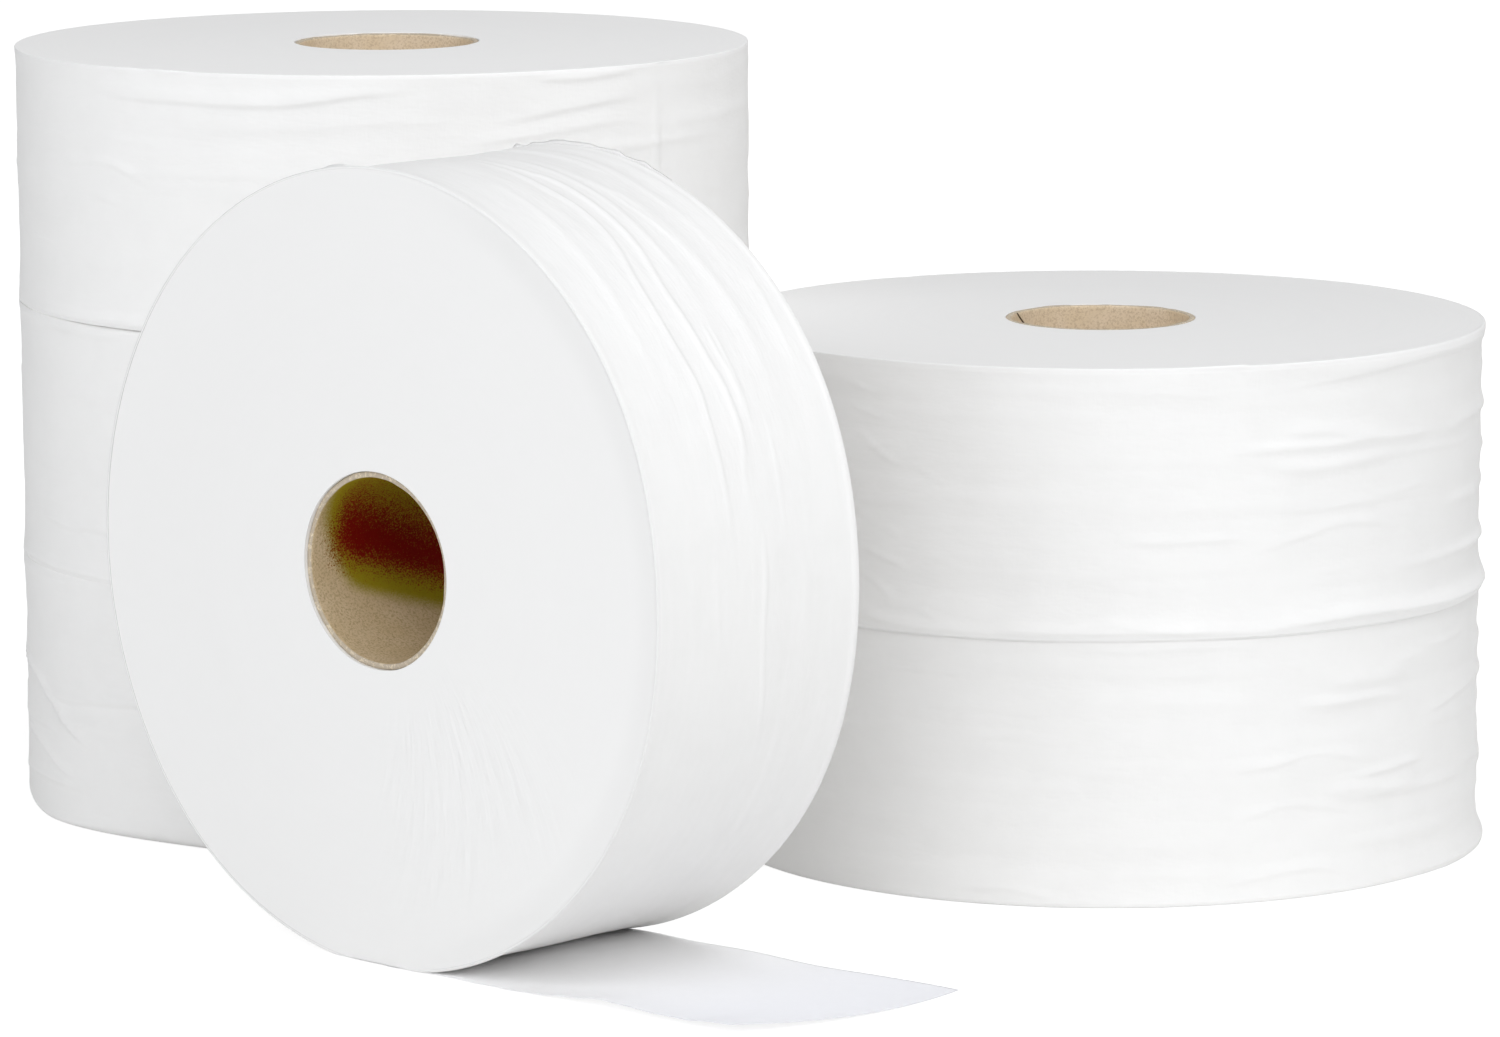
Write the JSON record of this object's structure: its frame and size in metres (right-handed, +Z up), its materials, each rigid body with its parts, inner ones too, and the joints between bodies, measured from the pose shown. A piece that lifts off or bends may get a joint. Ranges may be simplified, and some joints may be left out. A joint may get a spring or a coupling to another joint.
{
  "type": "toilet paper roll pack",
  "caption": "Pack of jumbo toilet rolls: a stack of three, a stack of two and one roll standing on its rim with a loose tail of paper on the floor.",
  "frame": {"origin": "middle of the pack's footprint, on the floor", "axes": "+Z up, +Y away from the side that the front roll stands on, +X to the right seen from there"},
  "size_m": [0.5236, 0.5358, 0.276],
  "materials": {
    "paper": "matte",
    "core": "matte"
  },
  "bodies": {
    "root": {"left_stack_bottom_paper": "paper", "left_stack_bottom_core": "core", "left_stack_middle_paper": "paper", "left_stack_middle_core": "core", "left_stack_top_paper": "paper", "left_stack_top_core": "core", "right_stack_bottom_paper": "paper", "right_stack_bottom_core": "core", "right_stack_top_paper": "paper", "right_stack_top_core": "core", "front_roll_paper": "paper", "front_roll_core": "core"}
  },
  "joints": []
}
